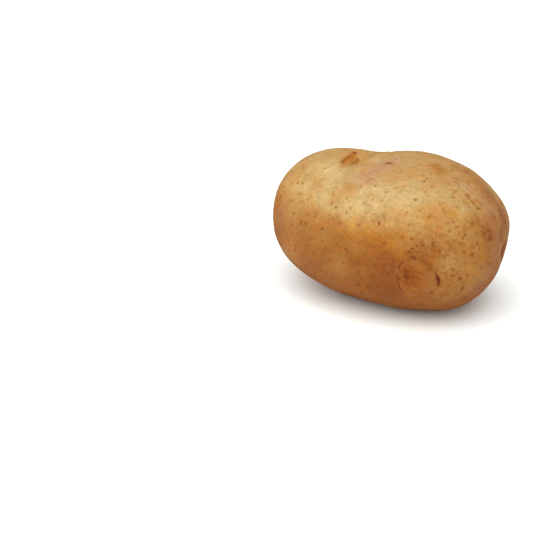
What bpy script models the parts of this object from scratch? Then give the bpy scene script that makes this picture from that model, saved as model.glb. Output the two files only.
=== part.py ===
"""A whole potato, grown as one solid: shoulders, a shallow waist, eyes and a small flat spot to rest on.

The long axis lies along X with the rose end, where the eyes crowd together, at +X and the stem end at -X.
The width lies along Y, and the potato rests on the plane Z = 0 with its middle over the origin.
"""

import math

import bmesh
import bpy
from mathutils import Vector

MM = 0.001

# Driving dimensions of the finished potato.
LENGTH = 104 * MM
WIDTH = 73 * MM
HEIGHT = 62 * MM

# Character of the plain body under the bumps. A fullness of 2 is an ellipsoid, and more is blunter.
END_FULLNESS = 2.35
RING_FULLNESS = 2.08
WIDTH_GROWTH = 0.05
HEIGHT_GROWTH = 0.07
SAG_OF_MIDDLE = 1.6 * MM

# Height of the cap that is pressed flat underneath, where the potato rests.
REST_SLICE = 0.7 * MM

# Triangles come from halving an icosahedron's edges this many times.
SPHERE_SUBDIVISIONS = 5

# Swellings and flats: degrees round the body from +X, degrees up, radius, height (hollow if negative).
SWELLINGS = {
    "left_shoulder": (165, 45, 20 * MM, 2.0 * MM),
    "left_top": (-150, 60, 14 * MM, 0.9 * MM),
    "stem_end_brow": (-170, 28, 12 * MM, -0.5 * MM),
    "stem_end_flat": (-158, 0, 18 * MM, -1.6 * MM),
    "back_crown": (66, 54, 18 * MM, 1.6 * MM),
    "saddle_shoulder": (150, 68, 8 * MM, 0.3 * MM),
    "back_right_flat": (32, 27, 14 * MM, -0.8 * MM),
    "rose_end_tip": (22, 7, 9 * MM, 0.3 * MM),
    "rose_end_slope": (10, -44, 10 * MM, -0.9 * MM),
    "right_heel": (-24, -42, 18 * MM, 3.0 * MM),
    "front_belly": (-78, -48, 20 * MM, 1.0 * MM),
    "left_belly": (-122, -34, 20 * MM, 0.9 * MM),
    "back_hip": (118, -28, 20 * MM, 1.2 * MM),
    "back_hollow": (70, -8, 16 * MM, -1.0 * MM),
    "underside": (180, -72, 18 * MM, 0.6 * MM),
}

# The waist is a shallow valley over the top: degrees round, degrees up and depth along its way.
WAIST_RADIUS = 8 * MM
WAIST_PATH = [
    (118, 10, 0.9 * MM),
    (118, 35, 1.6 * MM),
    (120, 52, 1.6 * MM),
    (128, 68, 1.5 * MM),
    (160, 80, 1.3 * MM),
    (-110, 66, 1.1 * MM),
    (-105, 48, 0.9 * MM),
    (-107, 32, 0.6 * MM),
    (-110, 18, 0.0 * MM),
]
WAIST_STEPS = 6

# Eyes are small hollows: degrees round, degrees up, radius, depth.
EYES = {
    "top_eye": (-143, 71, 5.0 * MM, 1.1 * MM),
    "front_eye": (-60, -8, 6.5 * MM, 1.2 * MM),
    "rose_end_eye": (8, -9, 7.0 * MM, 1.5 * MM),
    "rose_side_eye": (44, -6, 5.0 * MM, 0.9 * MM),
    "back_eye": (96, 8, 6.0 * MM, 1.1 * MM),
    "stem_side_eye": (148, -12, 5.5 * MM, 1.0 * MM),
    "under_rose_eye": (30, -52, 5.0 * MM, 0.8 * MM),
    "under_stem_eye": (-128, -50, 5.0 * MM, 0.8 * MM),
    "stem_scar": (178, -4, 4.5 * MM, 1.4 * MM),
}


def clear_scene():
    """Remove every object of the scene that the script starts in."""
    for old in list(bpy.data.objects):
        bpy.data.objects.remove(old, do_unlink=True)


def direction(round_degrees, up_degrees):
    """Unit vector that many degrees round the body from +X and that many degrees above its middle."""
    turn = math.radians(round_degrees)
    rise = math.radians(up_degrees)
    return Vector((math.cos(rise) * math.cos(turn), math.cos(rise) * math.sin(turn), math.sin(rise)))


def body_point(way):
    """Point of the plain body, a full egg with a slight sag, in the direction of a unit vector."""
    ring = (abs(way.y) ** RING_FULLNESS + abs(way.z) ** RING_FULLNESS) ** (1 / RING_FULLNESS)
    reach = (abs(way.x) ** END_FULLNESS + ring**END_FULLNESS) ** (-1 / END_FULLNESS)
    along = way.x * reach
    across = way.y * reach * (1 + WIDTH_GROWTH * along)
    upward = way.z * reach * (1 + HEIGHT_GROWTH * along)
    sag = SAG_OF_MIDDLE * (along**2 - 0.3)
    return Vector((along * LENGTH / 2, across * WIDTH / 2, upward * HEIGHT / 2 + sag))


def push_out(bm, centre, radius, height):
    """Move the skin near a point along its normals by up to height, fading over about the radius."""
    bm.normal_update()
    moves = []
    for vert in bm.verts:
        nearness = math.exp(-((vert.co - centre).length_squared) / radius**2)
        moves.append(vert.normal * height * nearness)
    for vert, move in zip(bm.verts, moves, strict=True):
        vert.co += move


def waist_points():
    """Points along the valley, each with its depth, a few between every two that the path names."""
    points = []
    for (turn_a, rise_a, depth_a), (turn_b, rise_b, depth_b) in zip(WAIST_PATH, WAIST_PATH[1:], strict=False):
        start, end = direction(turn_a, rise_a), direction(turn_b, rise_b)
        for step in range(WAIST_STEPS):
            share = step / WAIST_STEPS
            way = start.lerp(end, share).normalized()
            points.append((body_point(way), depth_a + (depth_b - depth_a) * share))
    return points


def press_waist(bm):
    """Press the valley in, each vertex by the depth of the path's nearest point."""
    bm.normal_update()
    path = waist_points()
    moves = []
    for vert in bm.verts:
        distance_squared, depth = min(((vert.co - point).length_squared, depth) for point, depth in path)
        moves.append(vert.normal * -depth * math.exp(-distance_squared / WAIST_RADIUS**2))
    for vert, move in zip(bm.verts, moves, strict=True):
        vert.co += move


def extent(bm):
    """Lowest and highest corner of the mesh's box."""
    corners = [[pick(vert.co[axis] for vert in bm.verts) for axis in range(3)] for pick in (min, max)]
    return Vector(corners[0]), Vector(corners[1])


def settle(bm):
    """Press the underside flat where it rests, and bring the box to the stated size over the origin."""
    low, high = extent(bm)
    bmesh.ops.translate(bm, verts=bm.verts, vec=Vector((0, 0, -low.z - REST_SLICE)))
    for vert in bm.verts:
        vert.co.z = max(vert.co.z, 0)
    low, high = extent(bm)
    middle = (low + high) / 2
    bmesh.ops.translate(bm, verts=bm.verts, vec=Vector((-middle.x, -middle.y, 0)))
    size = high - low
    stretch = Vector((LENGTH / size.x, WIDTH / size.y, HEIGHT / size.z))
    bmesh.ops.scale(bm, verts=bm.verts, vec=stretch)


def skin_material():
    """Thin russet-tan skin, half matt."""
    skin = bpy.data.materials.new("skin")
    skin.use_nodes = True
    shader = skin.node_tree.nodes["Principled BSDF"]
    shader.inputs["Base Color"].default_value = (0.60, 0.33, 0.11, 1)
    shader.inputs["Roughness"].default_value = 0.5
    shader.inputs["Metallic"].default_value = 0.0
    return skin


def potato():
    """The tuber as one closed body."""
    bm = bmesh.new()
    bmesh.ops.create_icosphere(bm, subdivisions=SPHERE_SUBDIVISIONS, radius=1)
    for vert in bm.verts:
        vert.co = body_point(vert.co.normalized())
    for turn, rise, radius, height in SWELLINGS.values():
        push_out(bm, body_point(direction(turn, rise)), radius, height)
    press_waist(bm)
    for turn, rise, radius, depth in EYES.values():
        push_out(bm, body_point(direction(turn, rise)), radius, -depth)
    settle(bm)
    mesh = bpy.data.meshes.new("potato")
    bm.to_mesh(mesh)
    bm.free()
    mesh.shade_smooth()
    mesh.materials.append(skin_material())
    tuber = bpy.data.objects.new("potato", mesh)
    bpy.context.scene.collection.objects.link(tuber)
    return tuber


clear_scene()
potato()
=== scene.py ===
# %% [markdown]
# # A washed potato lying on a pale table
# A potato is the swollen end of an underground stem. It grew as one piece, so it is one closed mesh here.
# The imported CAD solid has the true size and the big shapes: two shoulders, a shallow waist, the hollows of
# the eyes and a small flat spot to rest on. Its facets are 3 mm wide, which is too coarse for skin.
#
# The skin could be sculpted by hand. This script wraps a fine mesh round the solid instead, then presses
# eyes, creases and pores into it and colours it. Every mark is written as a few numbers that can be changed,
# and each run makes the same potato. First the solid is loaded, and its box is kept to compare sizes at the
# end.

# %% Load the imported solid
import math
import random

import bmesh
import bpy
from mathutils import Matrix, Vector, noise
from mathutils.bvhtree import BVHTree
from mathutils.kdtree import KDTree


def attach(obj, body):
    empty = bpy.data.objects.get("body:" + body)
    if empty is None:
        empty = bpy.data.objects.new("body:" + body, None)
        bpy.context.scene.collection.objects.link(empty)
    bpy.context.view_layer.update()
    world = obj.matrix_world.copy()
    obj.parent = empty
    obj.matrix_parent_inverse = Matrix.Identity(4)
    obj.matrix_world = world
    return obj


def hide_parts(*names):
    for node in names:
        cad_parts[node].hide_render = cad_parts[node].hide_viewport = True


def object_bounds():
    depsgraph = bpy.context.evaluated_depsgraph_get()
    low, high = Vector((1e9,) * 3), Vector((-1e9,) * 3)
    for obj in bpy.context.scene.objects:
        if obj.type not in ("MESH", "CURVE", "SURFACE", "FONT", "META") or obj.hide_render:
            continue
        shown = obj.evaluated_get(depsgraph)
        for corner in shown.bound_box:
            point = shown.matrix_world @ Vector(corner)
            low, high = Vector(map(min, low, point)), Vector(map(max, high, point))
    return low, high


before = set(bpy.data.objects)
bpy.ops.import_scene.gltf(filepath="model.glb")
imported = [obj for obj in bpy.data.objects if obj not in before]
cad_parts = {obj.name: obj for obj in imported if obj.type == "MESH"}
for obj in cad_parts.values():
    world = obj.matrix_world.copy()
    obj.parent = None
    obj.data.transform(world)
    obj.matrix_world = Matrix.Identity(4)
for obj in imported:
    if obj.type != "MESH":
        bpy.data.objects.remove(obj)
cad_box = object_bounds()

MM = 0.001
middle = (cad_box[0] + cad_box[1]) / 2
half_size = (cad_box[1] - cad_box[0]) / 2
print("solid is", [round(2 * side / MM, 1) for side in half_size], "mm")

# %% [markdown]
# ## The camera
# It comes before the skin, because marks that a photograph shows are placed through it: a ray through a
# pixel ends on the skin. The lens is long, so the potato's outline has little perspective. The potato
# lies right of and above the middle of the picture, so the camera aims left of it and below it. It could be
# shifted instead, but other views keep a shift, and would then show the potato off the middle too.

# %% Set the camera
# Width and height of the picture in pixels.
PHOTO_SIDE = 540
SENSOR_MM = 36
LENS_MM = 100
# How far round from the front and up the camera stands, and how far from the spot that it aims at.
CAMERA_TURN = math.radians(28)
CAMERA_RISE = math.radians(24.5)
CAMERA_DISTANCE = 640.8 * MM
# Where that spot is from the potato's middle, as the camera sees it.
AIM_RIGHT = -50.3 * MM
AIM_UP = -19.3 * MM

right = Vector((math.cos(CAMERA_TURN), math.sin(CAMERA_TURN), 0))
back = Vector((
    math.sin(CAMERA_TURN) * math.cos(CAMERA_RISE),
    -math.cos(CAMERA_TURN) * math.cos(CAMERA_RISE),
    math.sin(CAMERA_RISE),
))
up = back.cross(right)
viewpoint = middle + right * AIM_RIGHT + up * AIM_UP + back * CAMERA_DISTANCE

camera_data = bpy.data.cameras.new("camera")
camera_data.sensor_width = SENSOR_MM
camera_data.lens = LENS_MM
camera = bpy.data.objects.new("camera", camera_data)
camera.matrix_world = Matrix.Translation(viewpoint) @ Matrix((right, up, back)).transposed().to_4x4()
bpy.context.scene.collection.objects.link(camera)
bpy.context.scene.camera = camera
print("camera stands", round(viewpoint.z / MM), "mm above the table")

# %% [markdown]
# ## From a pixel to a direction
# A camera is a point with a flat picture in front of it. So a pixel is a direction: its steps right and up
# from the middle of the picture, divided by the focal length, which is counted in pixels too. Blender has
# helpers for this, but they go by the size of its own render, so the few lines are written out here. The
# way back, from a point to its pixel, tells later which parts of the skin the picture shows.

# %% Turn a pixel into a ray
FOCAL_PIXELS = PHOTO_SIDE * LENS_MM / SENSOR_MM


def pixel_ray(pixel):
    """Unit vector from the camera through a pixel of the 540 x 540 picture."""
    across = (pixel[0] - PHOTO_SIDE / 2) / FOCAL_PIXELS
    upward = (PHOTO_SIDE / 2 - pixel[1]) / FOCAL_PIXELS
    return (right * across + up * upward - back).normalized()


def pixel_of(point):
    """Pixel of the 540 x 540 picture that a point of space lands on."""
    view = point - viewpoint
    depth = -view.dot(back)
    return (
        PHOTO_SIDE / 2 + FOCAL_PIXELS * view.dot(right) / depth,
        PHOTO_SIDE / 2 - FOCAL_PIXELS * view.dot(up) / depth,
    )


print("middle of the potato is at pixel", [round(value) for value in pixel_of(middle)])

# %% [markdown]
# ## The guide surface
# The solid's facets would show in a glossy skin. A copy of it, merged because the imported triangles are
# loose, is rounded with a Subdivision Surface and serves as a guide that rays can hit. The guide is never
# shown: it only says how far the skin lies from the potato's middle in each direction.

# %% Round a copy of the solid
MERGE_DISTANCE = 0.001 * MM
GUIDE_LEVELS = 3

bm = bmesh.new()
bm.from_mesh(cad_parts["potato"].data)
bmesh.ops.remove_doubles(bm, verts=bm.verts, dist=MERGE_DISTANCE)
guide_mesh = bpy.data.meshes.new("guide")
bm.to_mesh(guide_mesh)
bm.free()
guide = bpy.data.objects.new("guide", guide_mesh)
bpy.context.scene.collection.objects.link(guide)
rounding = guide.modifiers.new("rounding", "SUBSURF")
rounding.levels = rounding.render_levels = GUIDE_LEVELS
guide_tree = BVHTree.FromObject(guide, bpy.context.evaluated_depsgraph_get())
bpy.data.objects.remove(guide)
print("guide comes from", len(guide_mesh.vertices), "merged vertices")

# %% Find places on the guide
# Pixel in the middle of the top eye.
TOP_EYE = (351, 159)


def skin_towards(way):
    """Point of the guide in a direction from the potato's middle."""
    return guide_tree.ray_cast(middle, way)[0]


def skin_round(turn, rise):
    """Point of the guide that many degrees round from +X and up from the middle."""
    turn = math.radians(turn)
    rise = math.radians(rise)
    return skin_towards(Vector((
        math.cos(rise) * math.cos(turn),
        math.cos(rise) * math.sin(turn),
        math.sin(rise),
    )))


def skin_at(pixel):
    """Point of the guide that a pixel shows."""
    hit = guide_tree.ray_cast(viewpoint, pixel_ray(pixel))[0]
    if hit is None:
        raise ValueError(f"pixel {pixel} misses the potato")
    return hit


print("top eye lies at", [round(value / MM, 1) for value in skin_at(TOP_EYE)], "mm")

# %% [markdown]
# ## The creases and eyes
# Eyes are the buds of the stem. Each is a small cluster of bud scales in a hollow, under a curved crease
# called the brow, which is the scar of a scale leaf. The brow always lies on the stem side of its buds.
# A skin that is stretched by fast growth folds softly, or tears and heals as a short dark slit.
#
# Such marks could be painted on a picture that is wrapped round the mesh. Here each is a named stroke, given
# by the pixels that it runs through, so that one line can make both its relief and its colour.

# %% Name the creases that the picture shows
# A brow runs with its open side, where the buds lie, on its right hand.
SEEN_BROWS = {
    "front_brow_below": [(403.3, 292.6), (401, 289.4), (398.7, 285.8), (398.2, 281.4), (398.8, 276.6)],
    "front_brow_above": [(399.4, 272.4), (399.2, 268.6), (400.2, 264.8), (402.6, 262.2), (406.6, 256.8)],
    "top_brow": [(341.9, 168), (342.1, 162), (344, 159), (347, 157), (350.8, 154.8), (354.6, 152.6)],
    "rose_end_brow": [
        (505, 243.4), (504.1, 246.4), (503.2, 249.6), (502.2, 252.8), (501.1, 256), (499.8, 259.2),
    ],
}
SEEN_SLITS = {
    "front_slit": [
        (434.2, 270.4), (436.2, 274.4), (437.9, 278), (438.8, 281.2), (438.7, 284.4), (437.6, 288),
    ],
}
SEEN_FOLDS = {
    "top_fold": [(357, 165), (363, 160.3), (368.3, 157), (373, 154.6), (377, 153.2)],
    "rose_end_fold": [(500.6, 222), (501, 229), (500.4, 235), (500.2, 241), (499.8, 248)],
}
SEEN_BUDS = {
    "front_bud": [(406.6, 272.4), (405.8, 275), (406.4, 278.2), (412.3, 277.4), (406.6, 281.7)],
    "top_bud": [(354.8, 162.6)],
}
print(len(SEEN_BROWS) + len(SEEN_SLITS) + len(SEEN_FOLDS), "creases are placed by pixel")

# %% [markdown]
# ## The eyes all round
# A potato's eyes run round it in a spiral that crowds towards the rose end, the end away from the stem.
# Where the picture shows nothing, their places are made up in that pattern. They are given as angles, which
# need no camera. Two healed growth cracks and, at the stem end, the round scar of the stem are added too.

# %% Name the marks on the sides that the picture doesn't show
# Degrees round from +X, degrees up, radius of the brow in mm, half its spread in degrees.
HIDDEN_EYES = {
    "rose_side_eye": (44, -6, 4.6, 50),
    "back_eye": (96, 8, 6.0, 46),
    "stem_side_eye": (148, -12, 6.5, 40),
    "under_rose_eye": (30, -52, 5.0, 50),
    "under_stem_eye": (-128, -50, 6.0, 44),
    "back_crown_eye": (74, 44, 5.2, 38),
}
# Degrees round, degrees up, length in mm and lean in degrees.
HIDDEN_SLITS = {"back_slit": (118, -30, 4.0, 60), "under_slit": (-60, -48, 5.0, 35)}
STEM_SCAR = (178, -4)
print(len(HIDDEN_EYES), "eyes and", len(HIDDEN_SLITS), "growth cracks are placed by angle")

# %% [markdown]
# ## Pores and flecks
# Pores, or lenticels, are the holes that a potato breathes through. Each heals as a corky dot about a
# millimetre wide. Flecks are short strokes of thicker, darker cork, where fine cracks and scratches healed.
#
# A noise texture gives dots quickly, but evenly, like sprayed paint. Real ones are few and scattered, and a
# potato is known by them, so those that the picture shows are placed one by one: bold ones and faint ones.

# %% Name the bold pores that the picture shows
BOLD_PORES = {
    "left_shoulder": [
        (306.5, 175), (297.8, 182.6), (302.5, 183.3), (299.6, 194), (294.3, 213.6), (346.4, 198.2),
        (332, 203.6), (335.7, 207.6), (324.9, 168.1),
    ],
    "crown": [
        (374.8, 185.6), (386, 191.9), (404.1, 186), (415.3, 199.6), (364.2, 203.5), (379, 223.5),
        (358.3, 225),
    ],
    "right_slope": [
        (452.9, 170.4), (424.4, 181.8), (431.8, 186.4), (453.4, 193.6), (453.5, 197.6), (479, 208.2),
    ],
    "rose_end": [
        (457.3, 226.8), (449.6, 230.9), (465.2, 235), (472, 224), (489.4, 238), (472.5, 254.7),
        (480.6, 268.7),
    ],
    "belly": [
        (411.3, 238.8), (402.2, 236.5), (384, 243.4), (412.2, 248.9), (409.4, 252), (439.7, 251.4),
        (413.8, 258.6),
    ],
    "below": [(467.7, 275.5), (452.7, 275.7), (460.4, 278.8), (392.1, 271.7), (387.8, 273.6)],
}
print(sum(len(group) for group in BOLD_PORES.values()), "bold pores")

# %% Name the faint pores that the picture shows
FAINT_PORES = {
    "left_shoulder": [
        (291.6, 200), (302.3, 202), (286.3, 209.5), (315, 212.2), (315.4, 216.6), (312.6, 156.8),
        (349.2, 201.4), (350.7, 208.2), (339.7, 224.2), (329.6, 215.4), (333, 218.4), (338.1, 216.4),
        (346, 212.6), (285.4, 192.2),
    ],
    "crown": [
        (381.8, 201), (372.3, 195), (372.3, 199.4), (368.4, 195.2), (360.3, 187.2), (368, 181.8),
        (368.3, 205.6), (373, 221), (367.8, 228), (419.1, 210.4), (405.8, 216), (409, 224.4), (407, 213),
        (366, 213.4),
    ],
    "right_slope": [
        (431, 174.2), (426.6, 179), (423, 176), (425.6, 191.8), (419.6, 165), (457.2, 207.2),
        (458.4, 188.8), (455, 182), (458.4, 183.6), (468.6, 180.8), (470, 207), (440, 204.6),
        (447.5, 222.3), (454.1, 222.4),
    ],
    "rose_end": [
        (477.6, 221), (487.5, 223.8), (505.8, 222.8), (477.2, 243.6), (479.6, 248.6), (464.4, 252.6),
        (489.8, 249), (494.8, 254.4), (455.2, 253.4), (463, 238.6),
    ],
    "belly": [
        (433, 243.2), (431.6, 250.4), (435.7, 251.4), (443.2, 256.6), (445.5, 259.2), (449.4, 250.4),
        (416.5, 246), (436.6, 233.8), (394.2, 267), (393.7, 260.4), (444.5, 273), (457.2, 273.6),
        (451.4, 281), (427, 294), (420.2, 293.4), (370.3, 259), (375.2, 266), (373.9, 276.4),
    ],
}
seen_pore_count = sum(len(group) for seen in (BOLD_PORES, FAINT_PORES) for group in seen.values())
print(seen_pore_count, "pores are placed by pixel")

# %% Name the flecks that the picture shows
BOLD_FLECKS = [
    [(387.4, 162.6), (389.6, 162.4)], [(386, 163.9), (390.6, 163.4)], [(387.6, 163.2), (389.8, 162.9)],
    [(412.2, 257.4), (414.6, 258.9)], [(432.8, 242.6), (433.6, 246)], [(466.2, 194.2), (469.6, 197.4)],
    [(472, 201), (475.2, 203.4)], [(477.6, 207.6), (480, 208.8)], [(489, 237.4), (489.6, 239)],
    [(464.6, 233.6), (465.5, 236.2)], [(451.6, 268.6), (454, 270.6)], [(459.4, 277.6), (461.2, 279.8)],
    [(404.6, 270.6), (406.6, 272.6), (408.4, 271.8)], [(405.8, 274.6), (406.6, 278.4)],
    [(462.4, 300.4), (465.8, 298.6)], [(398.8, 278), (398.3, 280)], [(505, 222.6), (506.8, 223)],
    # Partly painted shade: the next four strokes darken the crease of the rose-end eye, the corner of the top
    # eye, and the skin beside and under its bud.
    [(504.4, 244.8), (503.2, 249), (502.4, 252.4)], [(354.3, 152.3), (354.5, 153.6)],
    [(357.3, 158.8), (357.9, 161.2)], [(355.8, 163.6), (353.4, 164.6), (351, 164.2)],
]
FAINT_FLECKS = [
    # Partly painted shade: the first four strokes follow the front brows and a fold beside the front eye, and
    # darken them as the shade in those creases.
    [(402.4, 262.4), (400.1, 265), (399.3, 268.6)], [(398.7, 285.8), (401, 289.4), (403, 292.2)],
    [(430.6, 263), (430.9, 269.6)], [(423, 261.6), (426.4, 264.4), (430, 264.4)],
    [(483.4, 233.4), (484.6, 233)], [(487.6, 231.6), (488.8, 230)], [(489.2, 237.2), (489.8, 239.2)],
    [(460.6, 242.4), (461.6, 245.8)], [(451.2, 245), (452.6, 248)], [(452.4, 241.4), (454, 240.2)],
    [(410.6, 248.6), (413.8, 248.8)], [(303, 164.8), (303.4, 168.8)], [(309, 195.6), (312.4, 197.4)],
    [(307.4, 199.4), (308.4, 199.8)], [(334.4, 189), (337.2, 188.2)], [(333.6, 191.4), (333.4, 195.4)],
    [(370, 179), (373.6, 179.6)], [(371.4, 206.8), (371.2, 209.4)], [(393.4, 188.2), (397.2, 188)],
    [(383, 216.4), (385, 219.6)], [(372.4, 214.2), (375, 213.8)],
    [(414, 249.6), (417.6, 252.8), (420.4, 251.8)], [(422.6, 240.6), (422.4, 246)],
    [(436, 248.4), (434.6, 245.8)], [(426.8, 254), (426.8, 256.6)], [(429.4, 256), (431.8, 256.8)],
    [(438.6, 253.6), (438.8, 257.4)], [(440.2, 234.6), (441, 237.6)], [(443, 234.6), (445.6, 236.2)],
    [(448, 241.4), (450.6, 243)], [(437, 271), (438.8, 272.4)], [(394.2, 266), (393.8, 268.6)],
    [(391.2, 268), (393.2, 262)], [(384.6, 264), (383.4, 268), (383, 274)],
    [(432.4, 291.2), (431.8, 293.6)], [(456.4, 191.6), (454.8, 192.4)], [(468.4, 180.6), (468.6, 184)],
    [(465.2, 170.8), (468.8, 173.8)], [(476, 188.8), (476, 191)], [(480.6, 191.4), (482.4, 190.6)],
    [(479, 201.6), (483, 206)], [(485, 190), (487.6, 192.4)], [(494.2, 213.6), (495.2, 218.4)],
    [(464, 226.8), (464.2, 231)], [(490, 247.6), (489.6, 250.6)], [(501, 208), (501.2, 212.4)],
    [(443.2, 208.4), (443.8, 212)], [(478, 282.6), (479.4, 284.6)], [(430, 216), (427.4, 218.8)],
    [(402.4, 171.4), (401.8, 172.8)], [(400.4, 156.6), (402.2, 158)], [(491.4, 230), (492, 234)],
    [(484, 236), (486, 241)], [(472, 245), (474, 248)], [(463.4, 286), (461.6, 290)],
    [(446, 292), (449, 295)],
]
print(len(BOLD_FLECKS) + len(FAINT_FLECKS), "flecks are placed by pixel")

# %% [markdown]
# ## Stains of the skin
# The colour of a washed potato comes from its cork. Where the cork is thin, over the crown, it is
# straw-coloured. Where it is thick, round the eyes, at the ends and where the potato lay on stones, it is
# brown, because cork holds back blue light most, green light less and red light least. So most stains only
# say where the cork is thinner or thicker, and two more kinds turn its hue to ochre or to a rosy tan.
# Some are painted light instead: pale stains on the crown and the left lobe are partly painted highlight,
# brown ones along the outline and on the belly are painted shade, and dark ones in the eyes are partly
# painted shade.
#
# Each stain is a soft stroke, given by the pixels that it runs through, its half width in mm and how strong
# it is.

# %% Name the stains of thin, pale cork that the picture shows, some of them partly painted highlight
# Pixels that each runs through, its half width in mm and its strength.
CREAM_STAINS = {
    # Partly painted highlight: left_lobe, left_flank, crown_left, crown and crown_right lie where the broad
    # highlight falls, and their pale paint partly stands in for its sheen.
    "left_lobe": ([(320, 166), (336, 177)], 5.5, 0.9),
    "left_flank": ([(303, 187), (322, 200)], 5.0, 1.0),
    "crown_left": ([(350, 203), (374, 212)], 5.5, 0.95),
    "crown": ([(382, 192), (408, 203)], 6.5, 0.85),
    "crown_right": ([(412, 188), (420, 197)], 4.5, 0.55),
    "right_crown": ([(436, 196), (450, 202)], 4.5, 0.4),
    "right_shoulder": ([(462, 214), (472, 212)], 3.5, 0.6),
    "middle": ([(394, 224), (408, 226)], 4.0, 0.4),
    "low_right": ([(450, 264), (474, 268)], 5.5, 0.9),
    "rose_flank": ([(472, 240), (484, 250)], 4.0, 0.5),
    "heel": ([(440, 292), (462, 288)], 5.0, 0.75),
    "waist_top": ([(348, 222), (364, 229)], 4.0, 0.45),
    "right_middle": ([(434, 230), (450, 231)], 3.5, 0.4),
    "right_slope": ([(458, 184), (474, 195)], 3.5, 0.5),
    "rose_ridge": ([(504.6, 228), (504.2, 240)], 1.5, 0.7),
    "rose_eye_lip": ([(500.6, 248), (499, 261)], 2.0, 1.0),
    "left_rim": ([(289, 172), (294, 168)], 2.0, 0.5),
    "top_rim": ([(312, 158), (332, 150.4)], 2.6, 0.6),
    "left_lobe_top": ([(311, 172), (316, 175)], 2.5, 0.6),
    "waist_light": ([(330, 208), (347, 213)], 3.0, 0.6),
    "valley_spot": ([(352, 184), (357, 184)], 2.0, 0.5),
    "saddle_top": ([(366, 152), (384, 154.4)], 1.6, 0.5),
    "saddle_spot": ([(373, 159), (377, 160)], 2.3, 0.6),
    "crown_back": ([(403, 158), (411, 160)], 2.5, 0.4),
    "left_lobe_low": ([(323, 187), (333, 187)], 3.0, 0.9),
    "left_lobe_right": ([(330, 163), (334, 165)], 3.0, 0.5),
    "left_valley_top": ([(346, 171), (354, 173)], 3.0, 0.4),
    "left_valley_low": ([(362, 193), (368, 197)], 3.0, 0.9),
    "low_right_edge": ([(458, 277), (483, 273)], 5.0, 0.55),
    "heel_right": ([(456, 294), (466, 286)], 4.0, 0.55),
    "right_valley": ([(448, 188), (450, 197)], 2.5, 0.45),
    "right_saddle": ([(431, 207), (440, 212)], 3.0, 0.35),
    "belly_light": ([(427, 231), (429, 240)], 2.5, 0.45),
}
print(len(CREAM_STAINS), "cream stains")

# %% Name the stains of thick, dark cork, and the painted shade
BROWN_STAINS = {
    # Painted shade: this stroke darkens the skin along the outline of the right shoulder.
    "right_top": ([(456, 167), (476, 180), (490, 197)], 3.0, 0.8),
    "rose_end": ([(477, 224), (488, 235)], 4.2, 0.45),
    # Painted shade: this stroke darkens the skin along the outline of the rose end.
    "rose_edge": ([(500, 208), (504, 220), (503, 234)], 3.5, 0.7),
    "crown_spot": ([(434.6, 166.4), (441, 172)], 2.7, 1.0),
    # Partly painted shade: this stroke and eye_facet below are the top eye's own orange-brown cork and the
    # shade that the brow's step casts into its hollow.
    "eye_floor": ([(350.4, 161)], 1.6, 0.5),
    "eye_facet": (
        [(344, 164.4), (344.4, 161), (349, 158), (352.6, 157), (354, 162.6), (349, 162)], 1.7, 0.9,
    ),
    "waist_edge": ([(366, 242), (384, 256)], 4.5, 0.7),
    # Painted shadow: this darkens the belly as the shade of a neighbouring potato, which the scene leaves
    # out. The eye_hollow stroke after it is the front eye's own darker cork and that painted shadow too.
    "belly": ([(392, 257), (400, 259), (424, 256)], 3.0, 0.15),
    "eye_hollow": ([(406, 266), (411, 272), (410, 277)], 4.0, 0.9),
    # Painted shade: this stroke darkens a soft fold beside the front eye along its length.
    "eye_fold": ([(422, 260), (431, 269)], 2.0, 0.7),
    # Painted shadow: this darkens the lower belly as the shade of a neighbouring potato, which the scene
    # leaves out.
    "belly_corner": ([(378, 266), (388, 296)], 6.0, 0.9),
    "orange_spot": ([(377.5, 220)], 2.2, 0.6),
    "left_valley": ([(348, 189), (353, 195)], 2.6, 0.45),
    # Painted shade: this stroke darkens the skin along the outline of the right shoulder.
    "shoulder_rim": ([(470, 172.5), (484, 184.5), (496, 200), (504.5, 217), (506, 226)], 2.4, 0.75),
    "shoulder_spot": ([(503, 206), (506.4, 214)], 1.8, 0.4),
    # Painted shade: this stroke darkens the skin along the outline of the stem end.
    "stem_rim": ([(277, 204), (281, 192), (296, 180)], 3.0, 0.35),
    "right_top_spot": ([(450, 183), (464, 177)], 2.7, 0.6),
    "saddle_right": ([(420, 211), (426, 209)], 2.5, 0.4),
    "crown_right": ([(421, 189), (424, 191)], 2.2, 0.35),
    "right_middle": ([(459, 230), (465, 228)], 2.5, 0.4),
    "ochre_edge": ([(447, 215), (453, 217)], 2.5, 0.35),
    "top_right_rim": ([(440, 157.5), (451, 161)], 2.0, 0.4),
    "crown_low": ([(386, 214), (398, 215), (410, 209)], 2.5, 0.3),
    "rose_blotch": ([(485, 225), (492, 223), (490, 234)], 3.0, 0.5),
}
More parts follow.
